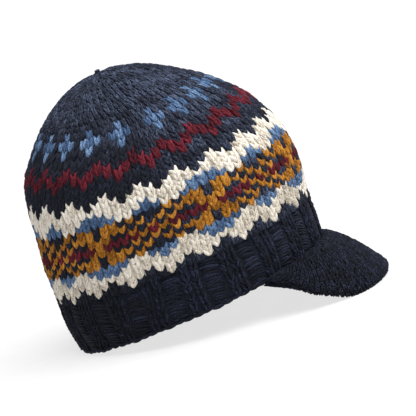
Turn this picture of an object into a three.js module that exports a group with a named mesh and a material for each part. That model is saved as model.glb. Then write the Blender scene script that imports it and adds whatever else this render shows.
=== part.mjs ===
// A chunky hand-knit beanie with a ribbed band and a drooping knitted visor.
// Millimetres, +Z up, visor towards +X. The hat is drawn round its own axis, with the back of its
// rim at height 0, and is then tipped back to the way it stands by itself on a table:
// on the back of the rim and on the two sides of the visor.
import * as THREE from "three";

// Knit
const KNIT_WALL = 5;
const SEAM_GAP = 0.3;

// Band
const BAND_TOP = 40.5;
const RIM_FRONT_LIFT = 5;
const RIB_COUNT = 21;
const RIB_DEPTH = 1.8;
const RIB_SQUARENESS = 1.6;
const RIM_ROUNDING = 1.6;

// Crown
const GATHER_COUNT = 7;
const GATHER_DEPTH = 2;
const GATHER_CENTRE = 0.84;
const GATHER_SPREAD = 0.12;
const TOP_DIMPLE = 1.6;
const TOP_DIMPLE_RADIUS = 11;
const KNOT_HEIGHT = 2.2;
const KNOT_RADIUS = 2.6;

// Visor
const VISOR_ROOT_ABOVE_RIM = 0.5;
const VISOR_TUCK = 4;
const VISOR_TUCK_AT_CORNER = 0.6;
const VISOR_TUCK_TAPER = 4;
const VISOR_CURL = 1.45;

// How the hat stands
const REST_TILT_DEG = 8.8;
const RIM_CENTRE = { x: -15.44, z: 13.8 };

// How finely the surfaces are drawn
const CROWN_COLUMNS = 56;
const CROWN_RINGS = 20;
const KNOT_RINGS = [0.25, 0.12];
const POINTS_PER_RIB = 6;
const BAND_RINGS = 5;
const VISOR_SLICES = 30;
const VISOR_STEPS = 7;
const EDGE_STEPS = 4;
const SEARCH_STEPS = 40;
const SLOPE_STEP = 1e-3;

// Outer outline of the hat: how far it reaches to the front, back and side at each height
const HAT_SECTIONS = [
  { height: 0, front: 100.5, back: 100.5, side: 86.5 },
  { height: 22, front: 103, back: 103, side: 89.5 },
  { height: 45, front: 104.5, back: 101.5, side: 89 },
  { height: 68, front: 108, back: 100.5, side: 90.5 },
  { height: 92, front: 107, back: 96.5, side: 90 },
  { height: 112, front: 100.5, back: 94, side: 86 },
  { height: 132, front: 89, back: 88, side: 77.5 },
  { height: 151, front: 71.5, back: 74.5, side: 63.5 },
  { height: 168, front: 49, back: 58, side: 47.5 },
  { height: 181, front: 25.5, back: 36, side: 27.5 },
  { height: 188, front: -4, back: 4, side: 0 },
];

// The visor from its middle to its corner: how far its edge stands out from the band and hangs
// below the rim, at each angle from the front
const VISOR_SECTIONS = [
  { angle: 0, reach: 32.5, drop: 36, thickness: 7 },
  { angle: 16, reach: 31.5, drop: 36, thickness: 7 },
  { angle: 30, reach: 27, drop: 34, thickness: 7 },
  { angle: 42, reach: 18, drop: 21, thickness: 7 },
  { angle: 50, reach: 9.5, drop: 8, thickness: 6 },
  { angle: 57, reach: 1.5, drop: 0.4, thickness: 4.5 },
];

const TURN = 2 * Math.PI;
const LAST_SECTION = HAT_SECTIONS.length - 1;
const VISOR_CORNER = VISOR_SECTIONS.at(-1).angle;

function smoothBetween(before, from, to, after, t) {
  const bend = 2 * before - 5 * from + 4 * to - after;
  const twist = 3 * from - before - 3 * to + after;
  return 0.5 * (2 * from + (to - before) * t + bend * t * t + twist * t ** 3);
}

// The row past the top mirrors the one below it, and the row past the rim carries the wall on.
function hatRow(i) {
  const rim = HAT_SECTIONS[0];
  const top = HAT_SECTIONS[LAST_SECTION];
  if (i < 0) {
    const next = HAT_SECTIONS[1];
    return {
      height: 2 * rim.height - next.height,
      front: 2 * rim.front - next.front,
      back: 2 * rim.back - next.back,
      side: 2 * rim.side - next.side,
    };
  }
  if (i > LAST_SECTION) {
    const below = HAT_SECTIONS[LAST_SECTION - 1];
    return {
      height: below.height,
      front: 2 * top.front - below.front,
      back: 2 * top.back - below.back,
      side: -below.side,
    };
  }
  return HAT_SECTIONS[i];
}

function hatSection(place) {
  const i = Math.min(Math.floor(place), LAST_SECTION - 1);
  const rows = [i - 1, i, i + 1, i + 2].map(hatRow);
  const column = (name) => smoothBetween(...rows.map((row) => row[name]), place - i);
  return { height: column("height"), front: column("front"), back: column("back"), side: column("side") };
}

function placeAtHeight(height) {
  let low = 0;
  let high = LAST_SECTION;
  for (let i = 0; i < SEARCH_STEPS; i++) {
    const middle = (low + high) / 2;
    if (hatSection(middle).height < height) low = middle;
    else high = middle;
  }
  return low;
}

function hatPoint(place, angle) {
  const { height, front, back, side } = hatSection(place);
  const middle = (front - back) / 2;
  const halfLength = (front + back) / 2;
  return new THREE.Vector3(middle + halfLength * Math.cos(angle), side * Math.sin(angle), height);
}

function hatNormal(place, angle) {
  const low = Math.min(place, LAST_SECTION - 2 * SLOPE_STEP);
  const along = hatPoint(low, angle + SLOPE_STEP).sub(hatPoint(low, angle - SLOPE_STEP));
  const up = hatPoint(low + SLOPE_STEP, angle).sub(hatPoint(low - SLOPE_STEP, angle));
  return along.cross(up).normalize();
}

// A point sunk below the outer outline of the hat
function hatPointSunk(place, angle, depth) {
  return hatPoint(place, angle).addScaledVector(hatNormal(place, angle), -depth);
}

// Skins a row of equal rings. The ends close on themselves as a loop, or each on a point.
function loft(rings, ends) {
  const size = rings[0].length;
  const points = rings.flat();
  const faces = [];
  const strips = ends ? rings.length - 1 : rings.length;
  for (let r = 0; r < strips; r++) {
    const here = r * size;
    const next = ((r + 1) % rings.length) * size;
    for (let i = 0; i < size; i++) {
      const j = (i + 1) % size;
      faces.push(here + i, here + j, next + j, here + i, next + j, next + i);
    }
  }
  if (ends) {
    const first = points.length;
    points.push(ends.first, ends.last);
    const lastRing = (rings.length - 1) * size;
    for (let i = 0; i < size; i++) {
      const j = (i + 1) % size;
      faces.push(first, j, i, first + 1, lastRing + i, lastRing + j);
    }
  }
  return new THREE.BufferGeometry().setFromPoints(points).setIndex(faces);
}

function centreOf(ring) {
  const sum = ring.reduce((total, point) => total.add(point), new THREE.Vector3());
  return sum.divideScalar(ring.length);
}

function ringOf(count, pointAt) {
  return Array.from({ length: count }, (_, i) => pointAt((TURN * i) / count));
}

function spread(count, from, to) {
  return Array.from({ length: count }, (_, i) => from + ((to - from) * i) / (count - 1));
}

function bell(x) {
  return Math.exp(-x * x);
}

// How deep the gathers and the drawn-in top sink the outside of the crown
function crownSink(place, angle) {
  const up = place / LAST_SECTION;
  const gather = bell((up - GATHER_CENTRE) / GATHER_SPREAD) * (0.5 - 0.5 * Math.cos(GATHER_COUNT * angle));
  const fromTop = hatSection(place).side;
  const dimple = TOP_DIMPLE * bell(fromTop / TOP_DIMPLE_RADIUS);
  const knot = KNOT_HEIGHT * bell(fromTop / KNOT_RADIUS);
  return GATHER_DEPTH * gather + dimple - knot;
}

function crownGeometry() {
  const bottom = placeAtHeight(BAND_TOP + SEAM_GAP / 2);
  const places = spread(CROWN_RINGS + 1, bottom, LAST_SECTION).slice(0, -1);
  const roundKnot = KNOT_RINGS.map((below) => LAST_SECTION - below);
  const outer = [...places, ...roundKnot].map((place) =>
    ringOf(CROWN_COLUMNS, (angle) => hatPointSunk(place, angle, crownSink(place, angle))),
  );
  const innerSink = (place, angle) => KNIT_WALL + Math.max(0, crownSink(place, angle));
  const inner = places.map((place) =>
    ringOf(CROWN_COLUMNS, (angle) => hatPointSunk(place, angle, innerSink(place, angle))),
  );
  const top = hatPoint(LAST_SECTION, 0);
  return loft([...inner.reverse(), ...outer], {
    first: top.clone().setZ(top.z - KNIT_WALL - TOP_DIMPLE),
    last: top.clone().setZ(top.z + KNOT_HEIGHT - TOP_DIMPLE),
  });
}

// Two stitches out and two stitches in, with a crest at the front: a crest is the hat's outline and
// a trough lies below it.
function ribSink(angle) {
  const wave = Math.tanh(RIB_SQUARENESS * Math.cos(RIB_COUNT * angle)) / Math.tanh(RIB_SQUARENESS);
  return RIB_DEPTH * (0.5 - 0.5 * wave);
}

// The rim lies a little higher at the front than at the back.
function rimHeight(angle) {
  const towardsBack = 0.5 - 0.5 * Math.cos(angle);
  return RIM_FRONT_LIFT * (1 - towardsBack ** 2);
}

function bandGeometry() {
  const columns = RIB_COUNT * POINTS_PER_RIB;
  const top = placeAtHeight(BAND_TOP - SEAM_GAP / 2);
  const ring = (up, lift, sink) =>
    ringOf(columns, (angle) => {
      const low = placeAtHeight(rimHeight(angle) + lift);
      return hatPointSunk(low + (top - low) * up, angle, sink(angle));
    });
  const outer = spread(BAND_RINGS, 0, 1).map((up) => ring(up, RIM_ROUNDING, ribSink));
  const inner = spread(BAND_RINGS, 1, 0).map((up) => ring(up, RIM_ROUNDING, () => KNIT_WALL));
  const rimOuter = ring(0, 0, (angle) => ribSink(angle) + RIM_ROUNDING / 2);
  const rimInner = ring(0, 0, () => KNIT_WALL - RIM_ROUNDING / 2);
  return loft([rimOuter, ...outer, ...inner, rimInner]);
}

function visorSection(angle) {
  const rows = VISOR_SECTIONS;
  const last = rows.length - 1;
  const size = Math.abs(angle);
  const i = Math.min(rows.findLastIndex((row) => row.angle <= size), last - 1);
  const t = (size - rows[i].angle) / (rows[i + 1].angle - rows[i].angle);
  const column = (name) => {
    const before = i > 0 ? rows[i - 1][name] : rows[1][name];
    const after = i + 2 <= last ? rows[i + 2][name] : 2 * rows[last][name] - rows[last - 1][name];
    return smoothBetween(before, rows[i][name], rows[i + 1][name], after, t);
  };
  return { reach: column("reach"), drop: column("drop"), thickness: column("thickness") };
}

// One slice through the visor: along the top from the band, round the edge, back underneath, and
// over the lip that is tucked under the rim
function visorSlice(degrees) {
  const angle = THREE.MathUtils.degToRad(degrees);
  const { reach, drop, thickness } = visorSection(degrees);
  const half = thickness / 2;
  const rim = rimHeight(angle);
  const rootHeight = rim + VISOR_ROOT_ABOVE_RIM;
  const rootPlace = placeAtHeight(rootHeight + half);
  const root = hatPoint(rootPlace, angle);
  const outward = hatNormal(rootPlace, angle).setZ(0).normalize();
  const place = (out, height) => root.clone().addScaledVector(outward, SEAM_GAP + out).setZ(height);
  const side = (t, turn) => {
    const lean = Math.atan2(VISOR_CURL * drop * t ** (VISOR_CURL - 1), reach);
    const out = reach * t + half * Math.sin(lean + turn);
    const height = rootHeight - drop * t ** VISOR_CURL + half * Math.cos(lean + turn);
    return place(Math.max(out, 0), height);
  };
  const top = spread(VISOR_STEPS, 0, 1).map((t) => side(t, 0));
  const edge = spread(EDGE_STEPS + 1, 0, Math.PI).slice(1, -1).map((turn) => side(1, turn));
  const under = spread(VISOR_STEPS, 1, 0).map((t) => side(t, Math.PI));
  const towardsCorner = Math.abs(degrees) / VISOR_CORNER;
  const tuck = VISOR_TUCK + (VISOR_TUCK_AT_CORNER - VISOR_TUCK) * towardsCorner ** VISOR_TUCK_TAPER;
  const lip = [place(-tuck, rootHeight - half), place(-tuck, rim - SEAM_GAP), place(0, rim - SEAM_GAP)];
  return [...top, ...edge, ...under, ...lip];
}

function visorGeometry() {
  const slices = spread(VISOR_SLICES + 1, -VISOR_CORNER, VISOR_CORNER).map(visorSlice);
  const edgeMiddle = VISOR_STEPS + EDGE_STEPS / 2 - 1;
  const corner = (slice) => centreOf([slice[edgeMiddle], slice.at(-1), slice.at(-4)]);
  return loft(slices, { first: corner(slices[0]), last: corner(slices.at(-1)) });
}

// Tips the hat back and flattens the soft knit where it would sink into the table.
function settle(geometry) {
  geometry.rotateY(-THREE.MathUtils.degToRad(REST_TILT_DEG));
  geometry.translate(RIM_CENTRE.x, 0, RIM_CENTRE.z);
  const points = geometry.getAttribute("position");
  for (let i = 0; i < points.count; i++) points.setZ(i, Math.max(0, points.getZ(i)));
  geometry.computeVertexNormals();
  return geometry;
}

function piece(name, geometry, color) {
  const material = new THREE.MeshStandardMaterial({ color, roughness: 0.95, metalness: 0 });
  const mesh = new THREE.Mesh(settle(geometry), material);
  mesh.name = name;
  return mesh;
}

const hat = new THREE.Group();
hat.add(piece("crown", crownGeometry(), 0x343a50));
hat.add(piece("band", bandGeometry(), 0x1d2333));
hat.add(piece("visor", visorGeometry(), 0x20263a));

export default hat;
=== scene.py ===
import math

import bmesh
import bpy
import numpy as np
from mathutils import Matrix, Vector


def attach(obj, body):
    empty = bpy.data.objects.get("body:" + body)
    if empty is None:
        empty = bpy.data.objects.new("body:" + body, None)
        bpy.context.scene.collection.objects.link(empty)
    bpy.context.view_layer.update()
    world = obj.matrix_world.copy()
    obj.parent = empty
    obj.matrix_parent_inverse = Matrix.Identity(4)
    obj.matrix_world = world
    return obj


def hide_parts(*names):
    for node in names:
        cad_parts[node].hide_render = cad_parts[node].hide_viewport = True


# A chunky hand-knit visor beanie: every stitch is a pair of plump yarn legs laid on the hat's own
# outline. Sizes are in millimetres round the hat's axis until settle() puts them in the frame.
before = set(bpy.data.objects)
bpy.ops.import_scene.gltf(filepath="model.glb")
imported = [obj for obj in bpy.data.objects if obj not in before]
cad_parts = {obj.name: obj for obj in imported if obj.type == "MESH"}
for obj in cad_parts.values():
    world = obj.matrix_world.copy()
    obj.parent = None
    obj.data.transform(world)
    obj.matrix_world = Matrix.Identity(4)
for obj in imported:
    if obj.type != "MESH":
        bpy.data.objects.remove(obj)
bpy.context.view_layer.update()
rng = np.random.default_rng(84)

MM = 0.001
TURN = 2 * math.pi

# The hat's outline, the same named sizes as the solids
KNIT_WALL = 5.0
BAND_TOP = 40.5
RIM_FRONT_LIFT = 5.0
RIB_COUNT = 21
RIB_DEPTH = 1.8
RIB_SQUARENESS = 1.6
GATHER_COUNT = 7
GATHER_DEPTH = 2.0
GATHER_CENTRE = 0.84
GATHER_SPREAD = 0.12
TOP_DIMPLE = 1.6
TOP_DIMPLE_RADIUS = 11.0
REST_TILT = math.radians(8.8)
RIM_CENTRE = np.array([-15.44, 0.0, 13.8])

# height, front, back, side
HAT_SECTIONS = np.array([
    (0, 100.5, 100.5, 86.5),
    (22, 103, 103, 89.5),
    (45, 104.5, 101.5, 89),
    (68, 108, 100.5, 90.5),
    (92, 107, 96.5, 90),
    (112, 100.5, 94, 86),
    (132, 89, 88, 77.5),
    (151, 71.5, 74.5, 63.5),
    (168, 49, 58, 47.5),
    (181, 25.5, 36, 27.5),
    (188, -4, 4, 0),
], float)
TOP = len(HAT_SECTIONS) - 1

# angle from the front in degrees, reach, drop, thickness
VISOR_SECTIONS = np.array([
    (0, 32.5, 36, 7),
    (16, 31.5, 36, 7),
    (30, 27, 34, 7),
    (42, 18, 21, 7),
    (50, 9.5, 8, 6),
    (57, 1.5, 0.4, 4.5),
], float)
VISOR_CORNER = math.radians(VISOR_SECTIONS[-1, 0])
VISOR_ROOT_ABOVE_RIM = 0.5
VISOR_CURL = 1.45

# The knitting
COLUMNS = 84
STITCH = TURN / COLUMNS
RIB_COLUMNS = COLUMNS // RIB_COUNT
PATTERN_MIDDLE_HEIGHT = 75.5
CROWN_FIRST_ROW = -9
BAND_ROWS = 13
# first row of a stretch, and how many columns are left in it
DECREASES = [(CROWN_FIRST_ROW, 84), (22, 70), (24, 56), (26, 42), (28, 28), (29, 21), (30, 14), (31, 7)]
# last row of a stretch, and the height of its rows
PITCHES = [(14.5, 3.95), (19, 7.1)]
TOP_PITCH = 5.2

# Half of one repeat of the middle band, from its mirror column outwards, row by row from the middle
CHART = [
    "grrrrgr",
    "ggnngng",
    "ngggngn",
    "nggngnn",
    "bbbwwbb",
    "bbwwwwb",
    "wwwwwww",
    "nwwwnww",
    "nnwnnnw",
]
REPEAT = 12
CHART_SHIFT = 4
# Rows of the zigzag, for each column of its short repeat
ZIGZAG_ROWS = [(11, 12), (12, 13), (13, 14), (12, 13)]
# Middle row and middle columns of the crosses above it
CROSS_ROW = 17
CROSS_COLUMNS = [*range(3, 12, 4), *range(16, 25, 4), *range(29, 62, 4), *range(67, 84, 4)]
YARNS = "nwgbr"
YARN_NAMES = {"n": "navy", "w": "cream", "g": "gold", "b": "blue", "r": "burgundy"}

# How the hand-knit rows and columns wander: row, rise at the back and at the front in millimetres,
# lean at the back and at the front in stitches
DRIFT = np.array([
    (CROWN_FIRST_ROW, 0, 0, 0, 0),
    (0, 0, 0, 0, 0),
    (8, 11.5, 7, 0.3, 0.2),
    (10.5, 14.5, 7, 0.9, 0.2),
    (14, 14.5, 8, 1.4, 0.3),
    (15, 15, 8, 1.6, 0.25),
    (16, 15.5, 8, 2.0, 0.3),
    (17, 16, 8, 2.3, 0.3),
    (18, 15.5, 7.5, 2.5, 0.3),
    (19, 14, 6, 2.5, 0.3),
    (26, 0, 0, 1.2, 0.3),
])
# How suddenly the lean changes from back to front, and how far forward that is
LEAN_CHANGE = 6.0
LEAN_CHANGE_AT = 0.12
# Waves of the columns: size in stitches, waves round the hat, turn for each row, start
SWAYS = [(0.2, 2, 0.16, 0.0), (0.13, 5, -0.31, 1.0)]


def through_rows(extended, place):
    """A smooth curve through the rows of a table that has one more row at each end."""
    place = np.asarray(place, float)
    i = np.clip(np.floor(place).astype(int), 0, len(extended) - 4)
    t = (place - i)[..., None]
    p0, p1, p2, p3 = (extended[i + k] for k in range(4))
    square = 2 * p0 - 5 * p1 + 4 * p2 - p3
    cube = 3 * p1 - p0 - 3 * p2 + p3
    return 0.5 * (2 * p1 + (p2 - p0) * t + square * t**2 + cube * t**3)


# Past its top, the hat's outline comes down on the other side.
BELOW_TOP = HAT_SECTIONS[-2]
PAST_TOP = np.concatenate([BELOW_TOP[:1], 2 * HAT_SECTIONS[-1, 1:3] - BELOW_TOP[1:3], -BELOW_TOP[3:]])
PAST_RIM = 2 * HAT_SECTIONS[0] - HAT_SECTIONS[1]
HAT_ROWS = np.vstack([PAST_RIM, HAT_SECTIONS, PAST_TOP])
PAST_FRONT = VISOR_SECTIONS[1] * (-1, 1, 1, 1)
PAST_CORNER = 2 * VISOR_SECTIONS[-1] - VISOR_SECTIONS[-2]
VISOR_ROWS = np.vstack([PAST_FRONT, VISOR_SECTIONS, PAST_CORNER])
FINE_STEPS = 3000
FINE_PLACES = np.linspace(0, TOP, FINE_STEPS + 1)
FINE_SECTIONS = through_rows(HAT_ROWS, FINE_PLACES)
# Steps for a slope, how near the top and the rim a normal is still taken, and the least length of one
HAT_STEP = 1e-3
VISOR_STEP = 1e-4
TOP_GAP = 0.05
RIM_GAP = 0.02
LEAST_LENGTH = 1e-9


def place_at_height(height):
    return np.interp(height, FINE_SECTIONS[:, 0], FINE_PLACES)


def hat_point(place, angle):
    height, front, back, side = np.moveaxis(through_rows(HAT_ROWS, place), -1, 0)
    x = (front - back) / 2 + (front + back) / 2 * np.cos(angle)
    return np.stack([x, side * np.sin(angle), height + 0 * angle], -1)


def unit(v):
    return v / np.maximum(np.linalg.norm(v, axis=-1, keepdims=True), LEAST_LENGTH)


def hat_normal(place, angle):
    low = np.minimum(place, TOP - TOP_GAP)
    along = hat_point(low, angle + HAT_STEP) - hat_point(low, angle - HAT_STEP)
    up = hat_point(low + HAT_STEP, angle) - hat_point(low - HAT_STEP, angle)
    return unit(np.cross(along, up))


def bell(x):
    return np.exp(-x * x)


def crown_sink(place, angle):
    """How deep the gathers and the dimple at the top lie under the outline."""
    fold = 0.5 - 0.5 * np.cos(GATHER_COUNT * angle)
    gather = bell((place / TOP - GATHER_CENTRE) / GATHER_SPREAD) * fold
    side = through_rows(HAT_ROWS, place)[..., 3]
    return GATHER_DEPTH * gather + TOP_DIMPLE * bell(side / TOP_DIMPLE_RADIUS)


def rib_sink(angle):
    """How deep the purl columns of the band lie between its ribs."""
    wave = np.tanh(RIB_SQUARENESS * np.cos(RIB_COUNT * angle)) / math.tanh(RIB_SQUARENESS)
    return RIB_DEPTH * (0.5 - 0.5 * wave)


def rim_height(angle):
    return RIM_FRONT_LIFT * (1 - (0.5 - 0.5 * np.cos(angle)) ** 2)


# Rows of the crown are counted along the side of the hat, from the middle of the pattern.
SIDE_STEPS = np.hypot(*np.diff(FINE_SECTIONS[:, [0, 3]], axis=0).T)
SIDE_ARC = np.concatenate([[0], np.cumsum(SIDE_STEPS)])
MIDDLE_ARC = np.interp(place_at_height(PATTERN_MIDDLE_HEIGHT), FINE_PLACES, SIDE_ARC)
PITCH_ROWS = [CROWN_FIRST_ROW]
PITCH_ARCS = [MIDDLE_ARC + CROWN_FIRST_ROW * PITCHES[0][1]]
for last_row, pitch in PITCHES:
    PITCH_ARCS.append(PITCH_ARCS[-1] + (last_row - PITCH_ROWS[-1]) * pitch)
    PITCH_ROWS.append(last_row)
LAST_ROW = PITCH_ROWS[-1] + (SIDE_ARC[-1] - PITCH_ARCS[-1]) / TOP_PITCH
PITCH_ROWS.append(LAST_ROW)
PITCH_ARCS.append(SIDE_ARC[-1])


def drift(row, angle):
    """How far the knitting lies above even rows, in millimetres, and beside its columns, in radians."""
    at_row = (np.interp(row, DRIFT[:, 0], column) for column in DRIFT[:, 1:].T)
    rise_back, rise_front, lean_back, lean_front = at_row
    forward = np.cos(angle)
    front = 0.5 + 0.5 * np.tanh(LEAN_CHANGE * (forward - LEAN_CHANGE_AT))
    rise = rise_back * np.minimum(forward, 0) ** 2 + rise_front * np.maximum(forward, 0) ** 3
    return rise, STITCH * (lean_back * (1 - front) + lean_front * front)


def sway_of(row, angle):
    """How a hand-knit column wanders from its straight line, in radians."""
    wander = 0
    for size, waves, turn, start in SWAYS:
        wander = wander + size * np.sin(waves * angle + turn * row + start)
    return STITCH * wander


def crown_place(row, rise):
    return np.interp(np.interp(row, PITCH_ROWS, PITCH_ARCS) + rise, SIDE_ARC, FINE_PLACES)


def crown_surface(row, angle, out):
    """A point of the crown at a row and angle, so far out from its outline."""
    rise, lean = drift(row, angle)
    place = crown_place(row, rise)
    angle = angle + lean
    return hat_point(place, angle) + hat_normal(place, angle) * (out - crown_sink(place, angle))[..., None]


BAND_TOP_PLACE = place_at_height(BAND_TOP)


def band_surface(row, angle, out):
    """A point of the band at a row, counted from the rim, and an angle, so far out from its outline."""
    low = place_at_height(rim_height(angle))
    place = low + (BAND_TOP_PLACE - low) * row / BAND_ROWS
    return hat_point(place, angle) + hat_normal(np.maximum(place, RIM_GAP), angle) * out[..., None]


def tilted(points):
    """Turned as the hat tips when it rests by itself."""
    x, y, z = np.moveaxis(np.asarray(points), -1, 0)
    c, s = math.cos(REST_TILT), math.sin(REST_TILT)
    return np.stack([x * c - z * s, y, x * s + z * c], -1)


def settle(points):
    """From the hat's own frame to the frame of the solids, pressed flat where the hat rests."""
    settled = tilted(points) + RIM_CENTRE
    settled[..., 2] = np.maximum(settled[..., 2], 0)
    return settled * MM


# The visor as a table of slices, each one line over the top, round the edge and back underneath
VISOR_SLICES = 121
VISOR_ALONG = 81
# Points of a line before they are spaced evenly: along the top or the underside, and round the edge
FACE_POINTS = 40
EDGE_POINTS = 14
SOLVING_ROUNDS = 30


def visor_sizes(angle):
    """Reach, drop and thickness of the visor at each angle."""
    size = np.degrees(np.abs(angle))
    last = len(VISOR_SECTIONS) - 1
    place = np.interp(size, VISOR_SECTIONS[:, 0], np.arange(last + 1))
    for _ in range(SOLVING_ROUNDS):
        before = through_rows(VISOR_ROWS, place - VISOR_STEP)[:, 0]
        after = through_rows(VISOR_ROWS, place + VISOR_STEP)[:, 0]
        slope = (after - before) / (2 * VISOR_STEP)
        place = np.clip(place - (through_rows(VISOR_ROWS, place)[:, 0] - size) / slope, 0, last)
    return (column[:, None] for column in through_rows(VISOR_ROWS, place).T[1:])


def visor_table():
    """The angles and lengths of the visor's slices, and their points and normals, evenly spaced."""
    angle = np.linspace(-VISOR_CORNER, VISOR_CORNER, VISOR_SLICES)
    reach, drop, thickness = visor_sizes(angle)
    half = thickness / 2
    root_height = rim_height(angle)[:, None] + VISOR_ROOT_ABOVE_RIM
    root_place = place_at_height(root_height[:, 0] + half[:, 0])
    outward = hat_normal(root_place, angle) * (1, 1, 0)
    root = hat_point(root_place, angle)
    outwards, inwards = np.linspace(0, 1, FACE_POINTS), np.linspace(1, 0, FACE_POINTS)
    edge_turn = np.linspace(0, math.pi, EDGE_POINTS + 2)[1:-1]
    t = np.concatenate([outwards, np.ones(EDGE_POINTS), inwards])
    turn = np.concatenate([np.zeros(FACE_POINTS), edge_turn, np.full(FACE_POINTS, math.pi)])
    lean = np.arctan2(VISOR_CURL * drop * t ** (VISOR_CURL - 1), reach)
    out = np.maximum(reach * t + half * np.sin(lean + turn), 0)
    line = root[:, None] + unit(outward)[:, None] * out[..., None]
    line[..., 2] = root_height - drop * t**VISOR_CURL + half * np.cos(lean + turn)
    steps = np.linalg.norm(np.diff(line, axis=1), axis=-1)
    length = np.concatenate([np.zeros((VISOR_SLICES, 1)), np.cumsum(steps, 1)], 1)
    even = np.empty((VISOR_SLICES, VISOR_ALONG, 3))
    for i in range(VISOR_SLICES):
        share = np.linspace(0, length[i, -1], VISOR_ALONG)
        for k in range(3):
            even[i, :, k] = np.interp(share, length[i], line[i, :, k])
    normal = unit(np.cross(np.gradient(even, axis=1), np.gradient(even, axis=0)))
    return angle, length[:, -1], even, normal


VISOR_ANGLES, VISOR_LENGTHS, VISOR_POINTS, VISOR_NORMALS = visor_table()


def in_table(table, i, j):
    """Between the points of a table, at fractional row and column numbers, or just past its edges."""
    a = np.clip(np.floor(i).astype(int), 0, table.shape[0] - 2)
    b = np.clip(np.floor(j).astype(int), 0, table.shape[1] - 2)
    s, t = (i - a)[..., None], (j - b)[..., None]
    near = table[a, b] * (1 - s) + table[a + 1, b] * s
    far = table[a, b + 1] * (1 - s) + table[a + 1, b + 1] * s
    return near * (1 - t) + far * t


def visor_surface(along, angle, out):
    """along runs from 0 at the band, over the top and the edge, to 1 at the band underneath."""
    i = (angle + VISOR_CORNER) / (2 * VISOR_CORNER) * (VISOR_SLICES - 1)
    j = along * (VISOR_ALONG - 1)
    return in_table(VISOR_POINTS, i, j) + unit(in_table(VISOR_NORMALS, i, j)) * out[..., None]


# The wool: how many strands twist round the yarn, and how often they go round along one leg
PLIES = 3
PLY_TURNS = 1.6
# Fibres are drawn out along the yarn at a slant; flecks and patches have so many to a metre.
FIBRE_STRETCH = (14, 4, 1)
FIBRE_SLANT = 0.35
FIBRE_DETAIL = 3.0
FLECK_SCALE = 1300.0
PATCH_SCALE = 70.0
PATCH_DETAIL = 2.0
# How much each of them lightens or darkens the yarn; the strands darken the grooves between the plies,
# which is painted shade
STRAND_GROOVE_SHADE = 0.16
FIBRE_SHARE = 0.5
FLECK_SHARE = 0.8
PATCH_SHARE = 0.3
DARK_STOP = 0.1
MIDDLE_STOP = 0.5
LIGHT_STOP = 0.95
SMOOTHEST = 0.78
ROUGHEST = 1.0
WOOL_SPECULAR = 0.25
FUZZ_ROUGHNESS = 0.55
STRAND_BUMP = 0.7
STRAND_HEIGHT = 0.5


def yarn_material(name, dark, middle, light, fuzz, fleck_share=FLECK_SHARE):
    """Plied wool: strands twisted round the yarn with painted shade in their grooves, fibres along it,
    flecks, and each leg its own tone, which also carries painted light and shade.
    """
    material = bpy.data.materials.new(name)
    material.use_nodes = True
    nodes, links = material.node_tree.nodes, material.node_tree.links
    shader = nodes["Principled BSDF"]
    shader.inputs["Sheen Weight"].default_value = fuzz
    shader.inputs["Sheen Roughness"].default_value = FUZZ_ROUGHNESS
    shader.inputs["Sheen Tint"].default_value = (*light, 1)
    shader.inputs["Specular IOR Level"].default_value = WOOL_SPECULAR

    def math_node(operation, *values):
        made = nodes.new("ShaderNodeMath")
        made.operation = operation
        for socket, value in zip(made.inputs, values):
            if isinstance(value, (int, float)):
                socket.default_value = value
            else:
                links.new(value, socket)
        return made.outputs[0]

    def noise(vector, scale, detail):
        made = nodes.new("ShaderNodeTexNoise")
        made.inputs["Scale"].default_value = scale
        made.inputs["Detail"].default_value = detail
        links.new(vector, made.inputs["Vector"])
        return made.outputs["Fac"]

    spot = nodes.new("ShaderNodeTexCoord")
    twist = nodes.new("ShaderNodeVectorMath")
    twist.operation = "DOT_PRODUCT"
    twist.inputs[1].default_value = (PLIES * TURN, PLY_TURNS * TURN, 0)
    links.new(spot.outputs["UV"], twist.inputs[0])
    # The strands also darken the grooves between the plies: painted shade.
    strands = math_node("MULTIPLY_ADD", math_node("SINE", twist.outputs["Value"]), 0.5, 0.5)
    stretch = nodes.new("ShaderNodeMapping")
    stretch.inputs["Scale"].default_value = FIBRE_STRETCH
    stretch.inputs["Rotation"].default_value = (0, 0, FIBRE_SLANT)
    links.new(spot.outputs["UV"], stretch.inputs["Vector"])
    fibres = noise(stretch.outputs["Vector"], 1.0, FIBRE_DETAIL)
    flecks = noise(spot.outputs["Object"], FLECK_SCALE, 0.0)
    patches = noise(spot.outputs["Object"], PATCH_SCALE, PATCH_DETAIL)

    leg_tone = nodes.new("ShaderNodeAttribute")
    leg_tone.attribute_name = "tone"
    shade = math_node("ADD", leg_tone.outputs["Fac"], 0.5)
    shares = ((strands, STRAND_GROOVE_SHADE), (fibres, FIBRE_SHARE), (flecks, fleck_share), (patches, PATCH_SHARE))
    for pattern, share in shares:
        shade = math_node("MULTIPLY_ADD", math_node("SUBTRACT", pattern, 0.5), share, shade)
    ramp = nodes.new("ShaderNodeValToRGB")
    stops = ramp.color_ramp.elements
    stops[0].position, stops[1].position = DARK_STOP, LIGHT_STOP
    stops[0].color, stops[1].color = (*dark, 1), (*light, 1)
    stops.new(MIDDLE_STOP).color = (*middle, 1)
    links.new(shade, ramp.inputs["Fac"])
    links.new(ramp.outputs["Color"], shader.inputs["Base Color"])

    rough = nodes.new("ShaderNodeMapRange")
    rough.inputs["To Min"].default_value = SMOOTHEST
    rough.inputs["To Max"].default_value = ROUGHEST
    links.new(fibres, rough.inputs["Value"])
    links.new(rough.outputs["Result"], shader.inputs["Roughness"])
    bump = nodes.new("ShaderNodeBump")
    bump.inputs["Strength"].default_value = STRAND_BUMP
    bump.inputs["Distance"].default_value = STRAND_HEIGHT * MM
    links.new(math_node("ADD", strands, fibres), bump.inputs["Height"])
    links.new(bump.outputs["Normal"], shader.inputs["Normal"])
    return material


def srgb(red, green, blue):
    """A colour of 0 to 255 as the linear values that a shader takes."""
    return tuple(((c / 255 + 0.055) / 1.055) ** 2.4 for c in (red, green, blue))


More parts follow.
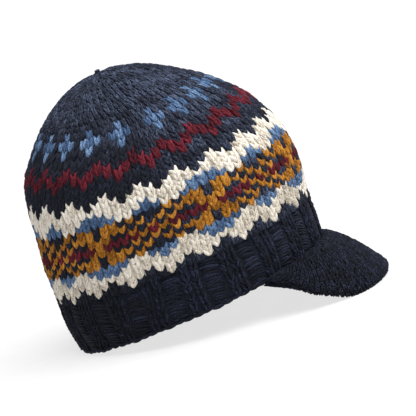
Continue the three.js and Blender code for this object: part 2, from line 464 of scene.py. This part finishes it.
YARN = {
    "n": yarn_material("navy_wool", srgb(13, 15, 25), srgb(35, 40, 56), srgb(92, 104, 130), 0.2, 1.0),
    "w": yarn_material("cream_wool", srgb(168, 156, 139), srgb(236, 227, 212), srgb(254, 250, 242), 0.15),
    "g": yarn_material("gold_wool", srgb(88, 48, 8), srgb(163, 105, 28), srgb(228, 162, 68), 0.1),
    "b": yarn_material("blue_wool", srgb(34, 53, 82), srgb(78, 105, 142), srgb(144, 174, 208), 0.1),
    "r": yarn_material("burgundy_wool", srgb(36, 5, 13), srgb(86, 17, 32), srgb(146, 48, 64), 0.08),
}
# The band and the visor are the navy wool made darker: painted shade for the lower parts of the hat, which
# get less light from above.
SHADED_BAND_YARN = yarn_material("band_wool_painted_shade", srgb(4, 6, 11), srgb(14, 18, 31), srgb(47, 54, 78), 0.06, 0.95)
SHADED_VISOR_YARN = yarn_material("visor_wool_painted_shade", srgb(2, 3, 7), srgb(14, 18, 30), srgb(50, 56, 79), 0.05, 0.6)


def yarn_ball(sides, rings):
    """A ball to be drawn out into a length of yarn, with its faces in the same order on each run."""
    bm = bmesh.new()
    bm.loops.layers.uv.new("UVMap")
    bmesh.ops.create_uvsphere(bm, u_segments=sides, v_segments=rings, radius=1, calc_uvs=True)
    bm.verts.index_update()
    count = len(bm.verts)

    def order(face):
        a, b, c = sorted(vert.index for vert in face.verts)[:3]
        return (a * count + b) * count + c

    bm.faces.sort(key=order)
    return bm


def face_outwards(bm):
    bm.normal_update()
    bmesh.ops.recalc_face_normals(bm, faces=bm.faces[:])
    if bm.calc_volume(signed=True) < 0:
        bmesh.ops.reverse_faces(bm, faces=bm.faces[:])


# Stitches are in stitch widths across, rows up and millimetres out. A knit leg: how far its middle is
# from the middle of its column, how far its ends bow inwards, and how fine its foot and its tip are
LEG_OFFSET = 0.22
LEG_BOW = 0.5
LEG_FOOT = 0.7
LEG_TIP = 1.15
# How far the ends of a purl bump bow inwards, as a share of its depth
PURL_BOW = 0.5
SMALLEST_RING = 0.01


class Leg:
    """A plump length of yarn along a path of (across, up, out), thin at its tip and blunt at its foot."""

    def __init__(self, path, width, thickness, depth, foot=1.0, tip=1.0, sides=6, rings=6):
        bm = yarn_ball(sides, rings)
        uv = bm.loops.layers.uv.active
        for vert in bm.verts:
            a, b, t = vert.co
            full = max(math.hypot(a, b), SMALLEST_RING) ** ((foot if t < 0 else tip) - 1)
            across, up, out = path(t)
            vert.co = (across + a * full * width, up + a * full * thickness, out + b * full * depth)
        face_outwards(bm)
        bm.verts.index_update()
        self.points = np.array([v.co for v in bm.verts])
        self.corners = np.array([loop.vert.index for face in bm.faces for loop in face.loops])
        self.uvs = np.array([loop[uv].uv for face in bm.faces for loop in face.loops])
        self.sizes = np.array([len(face.loops) for face in bm.faces])
        bm.free()


def knit_legs(width, depth, spread, tilt, **detail):
    """The two legs of a knit stitch: they meet low in front and part upwards, under the next stitch."""

    def leg(side):
        def path(t):
            return side * (LEG_OFFSET + spread * t), t, -depth - tilt * t - LEG_BOW * t * t
        return Leg(path, width, 0, depth, foot=LEG_FOOT, tip=LEG_TIP, **detail)

    return [leg(-1), leg(1)]


def purl_leg(half_width, thickness, depth, bow):
    """The bump of a purl stitch: one bowed length of yarn lying across its column."""

    def path(t):
        return half_width * t, bow * (1 - t * t), -depth - PURL_BOW * depth * t * t

    return [Leg(path, 0, thickness, depth)]


# How uneven the stitches are, in their own widths, rows, shares or millimetres
JITTER = 0.05
WIDTH_SPREAD = 0.05
LEAN_SPREAD = 0.05
HEIGHT_SPREAD = 0.06
STEP_SPREAD = 0.06
DEPTH_SPREAD = 0.06
STITCH_LIFT_SPREAD = 0.14
LEG_LIFT_SPREAD = 0.1
TONE_SPREAD = 0.15
LEG_TONE_SPREAD = TONE_SPREAD / 3
# How far apart the legs lie in the wool's pattern, and the margin round each one's place in the bake
WOOL_REACH = 20
BAKE_MARGIN = 0.04


def lay(name, legs, surface, rows, angles, widths, heights, lift, material,
        tone=0.0, jitter=JITTER, slope=0.0):
    """Lays the legs of a stitch at each row and angle of a surface, no two quite alike, as one mesh."""
    count, kinds, size = len(rows), len(legs), len(legs[0].points)
    total = count * kinds

    def each(values):
        return np.repeat(np.broadcast_to(values, count), kinds)[:, None]

    def by_stitch(spread):
        return each(rng.normal(0, spread, count))

    def by_leg(spread):
        return rng.normal(0, spread, (total, 1))

    across, up, out = np.moveaxis(np.tile(np.stack([leg.points for leg in legs]), (count, 1, 1)), -1, 0)
    across = across * (1 + by_leg(WIDTH_SPREAD)) + by_stitch(jitter) + by_leg(jitter / 2)
    across = across + by_leg(LEAN_SPREAD) * up
    up = up * (1 + by_leg(HEIGHT_SPREAD)) + by_stitch(STEP_SPREAD) + by_leg(STEP_SPREAD)
    up = up + each(slope) * across
    out = out * (1 + by_leg(DEPTH_SPREAD)) + each(lift)
    out = out + by_stitch(STITCH_LIFT_SPREAD) + by_leg(LEG_LIFT_SPREAD)
    points = settle(surface(each(rows) + up * each(heights), each(angles) + across * each(widths), out))
    tone = each(tone) + each(rng.uniform(-TONE_SPREAD, TONE_SPREAD, count)) + by_leg(LEG_TONE_SPREAD)

    mesh = bpy.data.meshes.new(name)
    corners = legs[0].corners[None] + (np.arange(total) * size)[:, None]
    sizes = np.tile(legs[0].sizes, total)
    starts = np.concatenate([[0], np.cumsum(sizes)[:-1]])
    mesh.vertices.add(total * size)
    mesh.vertices.foreach_set("co", points.astype(np.float32).ravel())
    mesh.loops.add(corners.size)
    mesh.loops.foreach_set("vertex_index", corners.astype(np.int32).ravel())
    mesh.polygons.add(len(sizes))
    mesh.polygons.foreach_set("loop_start", starts.astype(np.int32))
    mesh.update(calc_edges=True)
    own_uvs = legs[0].uvs[None] + rng.uniform(0, WOOL_REACH, (total, 1, 2))
    mesh.uv_layers.new(name="UVMap").data.foreach_set("uv", own_uvs.astype(np.float32).ravel())
    cells = math.ceil(math.sqrt(total))
    cell = np.stack(np.divmod(np.arange(total), cells), -1)[:, None]
    bake_uvs = (cell + BAKE_MARGIN + (1 - 2 * BAKE_MARGIN) * legs[0].uvs[None]) / cells
    mesh.uv_layers.new(name="OFBake").data.foreach_set("uv", bake_uvs.astype(np.float32).ravel())
    set_tones(mesh, np.repeat(tone, size))
    return finish_piece(name, mesh, [material])


def set_tones(mesh, tones):
    attribute = mesh.attributes.new("tone", "FLOAT", "POINT")
    attribute.data.foreach_set("value", tones.astype(np.float32))


def finish_piece(name, mesh, materials):
    mesh.validate()
    mesh.polygons.foreach_set("use_smooth", np.ones(len(mesh.polygons), bool))
    for material in materials:
        mesh.materials.append(material)
    piece = bpy.data.objects.new(name, mesh)
    bpy.context.scene.collection.objects.link(piece)
    return piece


def belongs(piece, node):
    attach(piece, "root")
    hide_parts(node)


def columns_in(row):
    return [count for first, count in DECREASES if row >= first][-1]


def yarn_at(row, column):
    """The letter of the yarn that a stitch of the crown is knitted in."""
    if columns_in(row) < COLUMNS:
        return "n"
    shifted = column + CHART_SHIFT
    if abs(row) < len(CHART):
        k = shifted % REPEAT
        return CHART[abs(row)][min(k, REPEAT - k)]
    if row in ZIGZAG_ROWS[shifted % len(ZIGZAG_ROWS)]:
        return "r"
    if abs(row - CROSS_ROW) + min(abs(column - middle) for middle in CROSS_COLUMNS) <= 1:
        return "b"
    return "n"


# The crown
KNIT = knit_legs(width=0.235, depth=1.4, spread=0.17, tilt=0.5)
TOP_KNIT = knit_legs(width=0.27, depth=1.25, spread=0.15, tilt=0.4)
TOP_FIRST_ROW = 15
# Half the height of a stitch in rows, row by row: tall rows leave their stitches more apart.
STITCH_REACH = ([14, 15.5, 19, 21], [0.95, 0.72, 0.72, 0.95])
CROWN_LIFT = -0.1
# The fullest yarn: how much taller its stitches are, and how much further they stand out
FULL_YARN = "r"
FULL_REACH = 1.2
FULL_LIFT = 0.25
# How light each yarn is, row by row: the navy lighter towards the top, where its fuzz catches the light
# from above, is painted sheen, and the cream darker towards the bottom is painted shade.
TONES_AND_PAINTED_LIGHT = {
    "n": ([-9, 9, 15, 22, 27], [-0.27, -0.3, -0.2, 0.01, -0.05]),
    "w": ([-8, -4, 4, 8], [-0.08, -0.06, 0.04, 0.05]),
    "g": ([0], [0.0]),
    "b": ([0], [-0.03]),
    "r": ([0], [-0.04]),
}
# Painted light and shade for how the light falls round the hat: what it adds to a yarn in the back and the
# front quarters, less towards the top
BACK_PAINTED_SHADE = {"n": -0.14}
FRONT_PAINTED_LIGHT_AND_SHADE = {"n": 0.22, "w": -0.06}
PAINTED_LIGHT_FADE = ([16, 22], [1, 0.2])


def by_quarter(angle, back, front):
    """A value that is full halfway between a side and the back or front of the hat, and nought at each."""
    forward = 2 * np.cos(angle) * np.abs(np.sin(angle))
    return back * np.maximum(-forward, 0) + front * np.maximum(forward, 0)


def crown_stitches():
    found = {}
    for row in range(CROWN_FIRST_ROW, int(LAST_ROW) + 1):
        width = TURN / columns_in(row)
        for column in range(columns_in(row)):
            part = yarn_at(row, column) + ("_top" if row >= TOP_FIRST_ROW else "")
            found.setdefault(part, []).append((row, (column + 0.5) * width, width))
    for part, stitches in found.items():
        yarn = part[0]
        row, angle, width = np.array(stitches).T
        angle = angle + sway_of(row, angle)
        # Painted light and shade: the navy darker in the back quarters and lighter in the front, the cream
        # darker in the front.
        painted_light = by_quarter(angle, BACK_PAINTED_SHADE.get(yarn, 0), FRONT_PAINTED_LIGHT_AND_SHADE.get(yarn, 0))
        tone = painted_light * np.interp(row, *PAINTED_LIGHT_FADE) + np.interp(row, *TONES_AND_PAINTED_LIGHT[yarn])
        legs = TOP_KNIT if part.endswith("top") else KNIT
        reach, lift = np.interp(row, *STITCH_REACH), CROWN_LIFT
        if part == FULL_YARN:
            reach, lift = reach * FULL_REACH, lift + FULL_LIFT
        name = "crown_stitches_" + YARN_NAMES[yarn] + part[1:]
        piece = lay(name, legs, crown_surface, row, angle, width, reach, lift, YARN[yarn], tone)
        belongs(piece, "crown")


# The skins under the stitches: cells to a stitch and to a row, and how dark they are; that darkness is
# painted shade in the gaps between the stitches
CELLS_ACROSS = 2
CELLS_UP = 4
BASE_GAP_SHADE = -0.2
MERGE_DISTANCE = 1e-6
SEAM_WIDTH = 0.001


def climb(v):
    """How far up a skin is that runs up the inside of a wall and down its outside, of 1 at the most."""
    return 1 - np.abs(2 * v - 1)


def on_inside(v):
    return v < 0.5


def at_seam(v):
    """Whether a skin is at the line where it started, and where it ends."""
    return climb(v) < SEAM_WIDTH


def shell(name, across, along, place, materials, pick=None, tone=BASE_GAP_SHADE):
    """A closed skin of cells: along runs up the inside, over and down the outside, to where it started."""
    bm = bmesh.new()
    uv = bm.loops.layers.uv.new("UVMap")
    bmesh.ops.create_grid(bm, x_segments=across, y_segments=along, size=1, calc_uvs=True)
    bm.verts.ensure_lookup_table()
    grid = np.array([v.co[:2] for v in bm.verts]) / 2 + 0.5
    points = settle(place(grid[:, 0], grid[:, 1]))
    for face in bm.faces:
        middle = sum((loop[uv].uv for loop in face.loops), Vector((0, 0))) / len(face.loops)
        if pick:
            face.material_index = pick(*middle)
        for loop in face.loops:
            loop[uv].uv = (loop[uv].uv[0] * across / CELLS_ACROSS, loop[uv].uv[1] * along)
    for vert, point in zip(bm.verts, points):
        vert.co = point
    bmesh.ops.remove_doubles(bm, verts=bm.verts[:], dist=MERGE_DISTANCE)
    bmesh.ops.holes_fill(bm, edges=[e for e in bm.edges if e.is_boundary])
    face_outwards(bm)
    mesh = bpy.data.meshes.new(name)
    bm.to_mesh(mesh)
    bm.free()
    set_tones(mesh, np.full(len(mesh.vertices), tone))
    return finish_piece(name, mesh, materials)


CROWN_BASE_FIRST_ROW = CROWN_FIRST_ROW - 0.4
CROWN_BASE_ROWS = LAST_ROW - CROWN_BASE_FIRST_ROW
CROWN_BASE_DEPTH = 1.85
# The purl side shows inside: ridges along the rows, each a little lower between its columns.
CROWN_RIDGE = 0.55
RIDGE_WAVE = 0.25
CROWN_FURROW = 0.45


def crown_base():
    def row_of(v):
        return CROWN_BASE_FIRST_ROW + CROWN_BASE_ROWS * climb(v)

    def place(u, v):
        row, angle = row_of(v), u * TURN
        columns = np.cos(COLUMNS * angle)
        purl = CROWN_RIDGE * np.cos(TURN * row) * (1 - RIDGE_WAVE + RIDGE_WAVE * columns)
        out = np.where(on_inside(v), -KNIT_WALL + purl, -CROWN_BASE_DEPTH + CROWN_FURROW * columns)
        out = np.where(at_seam(v), -(KNIT_WALL + CROWN_BASE_DEPTH) / 2, out)
        return crown_surface(row, angle + sway_of(row, angle), out)

    def pick(u, v):
        return YARNS.index(yarn_at(int(round(float(row_of(v)))), int(u * COLUMNS)))

    piece = shell("crown_base", CELLS_ACROSS * COLUMNS, 2 * CELLS_UP * int(CROWN_BASE_ROWS), place,
                  [YARN[yarn] for yarn in YARNS], pick)
    belongs(piece, "crown")


KNOT_SIDES = 8
KNOT_RINGS = 8
KNOT_HALF_LENGTH = 1.3
KNOT_CURL = 2.6
KNOT_RADIUS = 1.1
KNOT_RISE = 0.9
KNOT_BOW = 0.8


def crown_knot():
    """The end of the yarn, curled over the middle of the top."""
    bm = yarn_ball(KNOT_SIDES, KNOT_RINGS)
    top = hat_point(np.array(float(TOP)), np.array(0.0)) - (0, 0, TOP_DIMPLE)
    for vert in bm.verts:
        a, b, t = vert.co
        sideways = KNOT_HALF_LENGTH * math.sin(KNOT_CURL * t) + KNOT_RADIUS * a
        upwards = KNOT_RISE - KNOT_BOW * t * t + KNOT_RADIUS * b
        vert.co = settle(top + np.array([sideways, KNOT_HALF_LENGTH * t, upwards]))
    face_outwards(bm)
    mesh = bpy.data.meshes.new("crown_knot")
    bm.to_mesh(mesh)
    bm.free()
    set_tones(mesh, np.zeros(len(mesh.vertices)))
    belongs(finish_piece("crown_knot", mesh, [YARN["n"]]), "crown")


# The band: pairs of knit columns stand out, pairs of purl columns lie back between them.
RIB_KNIT = knit_legs(width=0.18, depth=1.2, spread=0.12, tilt=0.4)
RIB_PURL = purl_leg(half_width=0.48, thickness=0.62, depth=0.9, bow=0.45)
RIM_LOOP = purl_leg(half_width=0.8, thickness=0.6, depth=1.8, bow=-0.2)
KNIT_COLUMNS = (3, 0)
KNIT_START = 1.4
# A purl bump goes across its pair of columns: how many there are, where they start, how far out they lie
PURL_BUMPS = 17
PURL_START = 0.9
PURL_LIFT = -0.9
PURL_JITTER = 0.03
# How steeply the bumps of a rib may fall towards the front, in bumps across their pair of columns
PURL_SLOPES = (-2.4, -0.1)
PURL_SLOPE_SPREAD = 0.5
RIM_ROW = 0.45
RIM_LIFT = 0.2
# Painted shade: the band is darker in its back quarters, where less light reaches it.
BAND_BACK_SHADE = -0.14
BAND_BASE_DEPTH = 1.35
BAND_BASE_TONE = 0.0
# How far up the band's skin goes, as a share of its rows, and how deep its ridges and its ribs are
BAND_OVERLAP = 1.02
BAND_RIDGE = 0.5
RIB_SHARE = 0.5


def band_sway(row, angle):
    return sway_of(CROWN_FIRST_ROW - BAND_ROWS + row, angle)


def band_knits():
    columns = np.array([c for c in range(COLUMNS) if c % RIB_COLUMNS in KNIT_COLUMNS])
    column, row = (a.ravel() for a in np.meshgrid(columns, np.arange(BAND_ROWS) + KNIT_START))
    angle = (column + 0.5) * STITCH
    angle = angle + band_sway(row, angle)
    piece = lay("band_knit_columns", RIB_KNIT, band_surface, row, angle, STITCH, 1, 0.0, SHADED_BAND_YARN,
                tone=by_quarter(angle, BAND_BACK_SHADE, 0))
    belongs(piece, "band")


def band_purls():
    rib, bump = (a.ravel() for a in np.meshgrid(np.arange(RIB_COUNT), np.arange(PURL_BUMPS) + PURL_START))
    height = BAND_ROWS / PURL_BUMPS
    row = bump * height
    angle = RIB_COLUMNS * (rib + 0.5) * STITCH
    angle = angle + band_sway(row, angle)
    slope = rng.uniform(*PURL_SLOPES, RIB_COUNT)[rib] + rng.normal(0, PURL_SLOPE_SPREAD, len(rib))
    piece = lay("band_purl_columns", RIB_PURL, band_surface, row, angle, 2 * STITCH, height, PURL_LIFT,
                SHADED_BAND_YARN, tone=by_quarter(angle, BAND_BACK_SHADE, 0), jitter=PURL_JITTER, slope=slope)
    belongs(piece, "band")


def band_rim():
    column = np.arange(COLUMNS)
    row = np.full(COLUMNS, RIM_ROW)
    angle = (column + 0.5) * STITCH
    lift = np.where(np.isin(column % RIB_COLUMNS, KNIT_COLUMNS), RIM_LIFT, -RIM_LIFT)
    piece = lay("band_rim", RIM_LOOP, band_surface, row, angle, STITCH, 1, lift, SHADED_BAND_YARN)
    belongs(piece, "band")


def band_base():
    def place(u, v):
        angle = u * TURN
        row = BAND_ROWS * BAND_OVERLAP * climb(v)
        purl = BAND_RIDGE * np.cos(TURN * row)
        out = np.where(on_inside(v), -KNIT_WALL + purl, -BAND_BASE_DEPTH - RIB_SHARE * rib_sink(angle))
        out = np.where(at_seam(v), -(KNIT_WALL + BAND_BASE_DEPTH) / 2, out)
        return band_surface(row, angle, out)

    piece = shell("band_base", CELLS_ACROSS * COLUMNS, 2 * CELLS_UP * BAND_ROWS, place, [SHADED_BAND_YARN],
                  tone=BAND_BASE_TONE)
    belongs(piece, "band")


# The visor: a padded tube of finer knitting
FINE_KNIT = knit_legs(width=0.21, depth=1.15, spread=0.15, tilt=0.5, sides=5, rings=5)
VISOR_COLUMNS = 80
VISOR_ROW = 3.3
FEWEST_ROWS = 2
VISOR_LIFT = 0.2
VISOR_JITTER = 0.06
# How far the columns spread towards the corners on their way to the edge
VISOR_FAN = 0.3
# Half the height of its stitches, in rows
VISOR_REACH = 0.8
# How deep the padding lies, as a share of the visor's thickness, and how far it is tucked into the band
PAD_INSET = 0.28
PAD_TUCK = 2.5
PAD_CELLS = (96, 64)


def visor_fan(along):
    return 1 + VISOR_FAN * climb(along)


def visor_knit_surface(along, start, out):
    return visor_surface(along, start * visor_fan(along), out)


def visor_stitches():
    width = 2 * VISOR_CORNER / VISOR_COLUMNS
    stitches = []
    for start in -VISOR_CORNER + (np.arange(VISOR_COLUMNS) + 0.5) * width:
        count = max(FEWEST_ROWS, round(np.interp(start, VISOR_ANGLES, VISOR_LENGTHS) / VISOR_ROW))
        stitches += [((row + 0.5) / count, start, VISOR_REACH / count) for row in range(count)]
    along, start, height = np.array(stitches).T
    inside = np.abs(start * visor_fan(along)) < VISOR_CORNER - width / 2
    piece = lay("visor_stitches", FINE_KNIT, visor_knit_surface, along[inside], start[inside], -width,
                height[inside], VISOR_LIFT, SHADED_VISOR_YARN, jitter=VISOR_JITTER)
    belongs(piece, "visor")


def visor_pad():
    def place(u, v):
        angle = (2 * u - 1) * VISOR_CORNER
        thickness = np.interp(np.degrees(np.abs(angle)), VISOR_SECTIONS[:, 0], VISOR_SECTIONS[:, 3])
        inset = PAD_INSET * thickness
        tuck = PAD_TUCK / np.interp(angle, VISOR_ANGLES, VISOR_LENGTHS)
        root = (visor_surface(-tuck, angle, -inset) + visor_surface(1 + tuck, angle, -inset)) / 2
        skin = visor_surface(v + (2 * v - 1) * tuck, angle, -inset)
        return np.where(at_seam(v)[:, None], root, skin)

    piece = shell("visor_pad", *PAD_CELLS, place, [SHADED_VISOR_YARN])
    belongs(piece, "visor")


crown_base()
crown_stitches()
crown_knot()
band_base()
band_knits()
band_purls()
band_rim()
visor_pad()
visor_stitches()

# Camera, as the hat is seen in the photo: worked out round the hat's own axis, then settled with it
VIEW_AZIMUTH = math.radians(8)
VIEW_ELEVATION = math.radians(10)
VIEW_ROLL = math.radians(24)
VIEW_DISTANCE = 1600.0
FOCAL_PIXELS = 2128.0
IMAGE = 416
SENSOR = 36.0
LOOKED_AT = Vector((0, 0, 8))
LOOKED_AT_PIXEL = (199, 287)


def add_camera():
    level = Vector((math.cos(VIEW_AZIMUTH), math.sin(VIEW_AZIMUTH), 0))
    nearer = Vector((math.sin(VIEW_AZIMUTH), -math.cos(VIEW_AZIMUTH), 0))
    back = nearer * math.cos(VIEW_ELEVATION) + Vector((0, 0, math.sin(VIEW_ELEVATION)))
    upright = back.cross(level)
    right = level * math.cos(VIEW_ROLL) - upright * math.sin(VIEW_ROLL)
    up = level * math.sin(VIEW_ROLL) + upright * math.cos(VIEW_ROLL)
    eye = LOOKED_AT + back * VIEW_DISTANCE
    pixel = VIEW_DISTANCE / FOCAL_PIXELS
    rightwards = (IMAGE / 2 - LOOKED_AT_PIXEL[0]) * pixel
    upwards = (LOOKED_AT_PIXEL[1] - IMAGE / 2) * pixel
    aim = LOOKED_AT + right * rightwards + up * upwards
    z_axis = Vector(tilted((eye - aim).normalized()))
    x_axis = Vector(tilted(right))
    x_axis = (x_axis - z_axis * x_axis.dot(z_axis)).normalized()
    y_axis = z_axis.cross(x_axis)
    lens = bpy.data.cameras.new("camera")
    lens.sensor_width = SENSOR
    lens.lens = FOCAL_PIXELS / IMAGE * SENSOR
    camera = bpy.data.objects.new("camera", lens)
    turn = Matrix((x_axis, y_axis, z_axis)).transposed().to_4x4()
    camera.matrix_world = Matrix.Translation(Vector(settle(eye))) @ turn
    bpy.context.scene.collection.objects.link(camera)
    bpy.context.scene.camera = camera


FLOOR_REACH = 40
FLOOR_GRAIN = 40
FLOOR_GREYS = (0.2, 0.21)
FLOOR_ROUGHNESS = 0.9
# The floor is a lit table, so the shadow on it stays faint.
FLOOR_GLOW = 3.55


def add_floor():
    bm = bmesh.new()
    bmesh.ops.create_grid(bm, x_segments=2, y_segments=2, size=FLOOR_REACH)
    mesh = bpy.data.meshes.new("floor")
    bm.to_mesh(mesh)
    bm.free()
    paper = bpy.data.materials.new("pale_paper")
    paper.use_nodes = True
    nodes, links = paper.node_tree.nodes, paper.node_tree.links
    shader = nodes["Principled BSDF"]
    grain = nodes.new("ShaderNodeTexNoise")
    grain.inputs["Scale"].default_value = FLOOR_GRAIN
    ramp = nodes.new("ShaderNodeValToRGB")
    for stop, grey in zip(ramp.color_ramp.elements, FLOOR_GREYS):
        stop.color = (grey, grey, grey, 1)
    spot = nodes.new("ShaderNodeTexCoord")
    links.new(spot.outputs["Object"], grain.inputs["Vector"])
    links.new(grain.outputs["Fac"], ramp.inputs["Fac"])
    links.new(ramp.outputs["Color"], shader.inputs["Base Color"])
    links.new(ramp.outputs["Color"], shader.inputs["Emission Color"])
    shader.inputs["Emission Strength"].default_value = FLOOR_GLOW
    shader.inputs["Roughness"].default_value = FLOOR_ROUGHNESS
    floor = finish_piece("floor", mesh, [paper])


# A white room, and one wide soft light from above, a little to the front
ROOM_STRENGTH = 0.22
LIGHT_FROM = Vector((0.42, -0.15, 1.0))
LIGHT_SOFTNESS = math.radians(60)
LIGHT_STRENGTH = 4.5


def add_studio():
    world = bpy.data.worlds.new("studio")
    bpy.context.scene.world = world
    world.use_nodes = True
    background = world.node_tree.nodes["Background"]
    background.inputs["Color"].default_value = (1, 1, 1, 1)
    background.inputs["Strength"].default_value = ROOM_STRENGTH
    lamp = bpy.data.lights.new("key", "SUN")
    lamp.angle = LIGHT_SOFTNESS
    lamp.energy = LIGHT_STRENGTH
    light = bpy.data.objects.new("key", lamp)
    light.rotation_euler = LIGHT_FROM.to_track_quat("Z", "Y").to_euler()
    bpy.context.scene.collection.objects.link(light)
    bpy.context.scene.view_settings.view_transform = "Standard"


add_camera()
add_floor()
add_studio()
bpy.context.view_layer.update()
